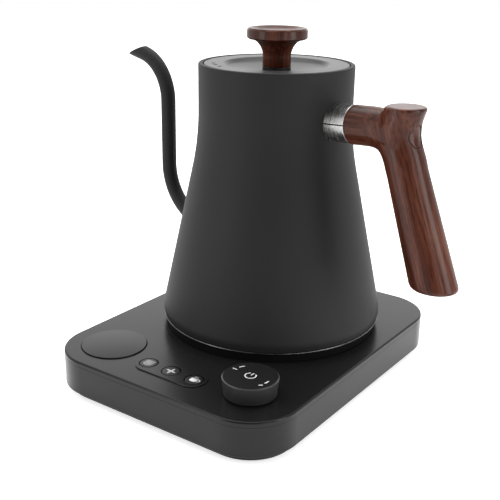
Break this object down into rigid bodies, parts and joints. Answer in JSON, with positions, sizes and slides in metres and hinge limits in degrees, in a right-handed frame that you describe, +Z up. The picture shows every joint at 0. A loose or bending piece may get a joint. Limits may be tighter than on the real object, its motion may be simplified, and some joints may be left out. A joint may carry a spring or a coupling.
{
  "type": "gooseneck kettle",
  "caption": "Electric pour-over kettle with a swan-neck spout, wooden handle and lid knob, on a flat powered base with a dial, buttons and a round display lens.",
  "frame": {"origin": "on the kettle's and coupler's axis, at the level of the table that the feet stand on", "axes": "+X to the right as seen from the base's front (handle side), +Y to the back of the base, +Z up"},
  "size_m": [0.238, 0.1842, 0.1874],
  "materials": {
    "black_steel": "matte black powder coat",
    "base_black": "satin black",
    "black_plastic": "fine-textured black plastic",
    "control_black": "satin black plastic with white symbols",
    "lens": "dark satin lens",
    "wood": "dark reddish hardwood, satin lacquer",
    "ferrule_steel": "bright brushed stainless steel",
    "steel": "stainless steel",
    "aluminium": "as cast",
    "rubber": "soft black rubber",
    "silicone": "grey silicone",
    "brass": "bare brass",
    "acetal": "black acetal",
    "board": "green circuit board",
    "component": "moulded electronic part"
  },
  "bodies": {
    "base": {"base_housing": "base_black", "base_top_plate": "base_black", "base_bottom_cover": "black_plastic", "base_feet": "rubber", "cover_screws": "steel", "cord_gland": "black_plastic", "display_lens": "lens", "encoder_body": "component", "encoder_nut": "brass", "control_board": "board", "board_screws": "steel", "button_switches": "component", "display_module": "component", "power_board": "board", "power_board_screws": "steel", "relay": "component", "transformer": "component", "buzzer": "component", "coupler_socket": "black_plastic", "coupler_contacts": "brass", "socket_screws": "steel"},
    "swivel": {"swivel_ring": "acetal"},
    "kettle": {"kettle_body": "black_steel", "lid_seat": "steel", "vessel_floor": "steel", "heat_spreader": "aluminium", "heating_element": "steel", "temperature_probe": "steel", "probe_seal": "silicone", "coupler_plug": "black_plastic", "plug_contacts": "brass", "coupler_screws": "steel", "bottom_cap": "black_plastic", "floor_studs": "steel", "bottom_cap_screws": "steel", "spout": "black_steel", "handle_ferrule": "ferrule_steel", "handle_boss": "steel", "handle": "wood", "handle_bolt": "steel", "handle_plug": "wood"},
    "lid": {"lid_cap": "black_steel", "lid_liner": "steel", "lid_seal": "silicone", "knob_washer": "black_plastic", "lid_knob": "wood", "knob_insert": "brass", "lid_screw": "steel"},
    "dial_plunger": {"encoder_plunger": "acetal"},
    "dial": {"dial_knob": "control_black", "encoder_shaft": "steel"},
    "left_button": {"button_left": "control_black"},
    "middle_button": {"button_middle": "control_black"},
    "right_button": {"button_right": "control_black"}
  },
  "joints": [
    {"name": "kettle_swivel", "type": "hinge", "parent": "base", "child": "swivel", "pos_m": [0, 0, 0.024], "axis": [0, 0, 1], "continuous": true},
    {"name": "kettle_lift", "type": "slide", "parent": "swivel", "child": "kettle", "axis": [0, 0, 1], "range_m": [0, 0.12]},
    {"name": "lid_lift", "type": "slide", "parent": "kettle", "child": "lid", "axis": [0, 0, 1], "range_m": [0, 0.06]},
    {"name": "dial_push", "type": "slide", "parent": "base", "child": "dial_plunger", "axis": [0, 0, -1], "range_m": [0, 0.0006], "stiffness_N_per_m": 2000, "springref_m": -0.0005},
    {"name": "dial_turn", "type": "hinge", "parent": "dial_plunger", "child": "dial", "pos_m": [0.0452, -0.0835, 0.028], "axis": [0, 0, 1], "continuous": true},
    {"name": "left_press", "type": "slide", "parent": "base", "child": "left_button", "axis": [0, 0, -1], "range_m": [0, 0.0005], "stiffness_N_per_m": 2000, "springref_m": -0.0005},
    {"name": "middle_press", "type": "slide", "parent": "base", "child": "middle_button", "axis": [0, 0, -1], "range_m": [0, 0.0005], "stiffness_N_per_m": 2000, "springref_m": -0.0005},
    {"name": "right_press", "type": "slide", "parent": "base", "child": "right_button", "axis": [0, 0, -1], "range_m": [0, 0.0005], "stiffness_N_per_m": 2000, "springref_m": -0.0005}
  ]
}
